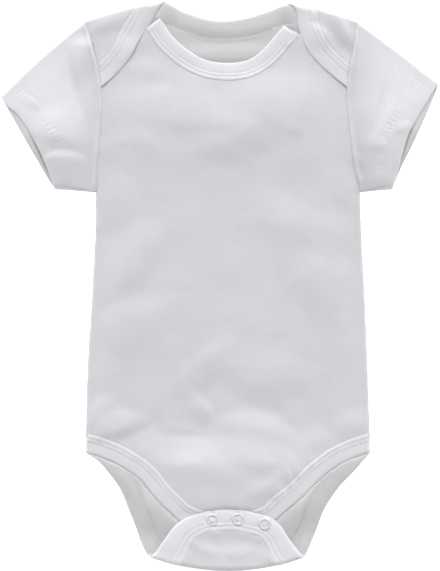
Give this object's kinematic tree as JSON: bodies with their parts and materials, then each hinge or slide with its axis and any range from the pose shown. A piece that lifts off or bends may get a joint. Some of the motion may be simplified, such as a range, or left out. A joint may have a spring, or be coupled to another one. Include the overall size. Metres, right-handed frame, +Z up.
{
  "type": "baby onesie",
  "caption": "Short-sleeved baby bodysuit with envelope shoulders and a snapped crotch, laid flat and face up.",
  "frame": {"origin": "middle of the garment's outline, on the surface it lies on", "axes": "+Y towards the neck, +X towards the wearer's left sleeve, +Z up through the front"},
  "size_m": [0.3156, 0.4111, 0.0092],
  "materials": {
    "interlock": "white cotton interlock jersey, matt",
    "rib": "white cotton rib strip, folded and topstitched, matt",
    "snap": "white enamelled brass, satin"
  },
  "bodies": {
    "root": {"back_panel": "interlock", "front_panel": "interlock", "sleeve_right": "interlock", "sleeve_left": "interlock", "front_neck_binding": "rib", "back_neck_binding": "rib", "front_leg_binding": "rib", "back_leg_binding": "rib", "snap_cap_1": "snap", "snap_cap_2": "snap", "snap_cap_3": "snap", "snap_socket_1": "snap", "snap_socket_2": "snap", "snap_socket_3": "snap", "snap_stud_1": "snap", "snap_stud_2": "snap", "snap_stud_3": "snap"}
  },
  "joints": []
}
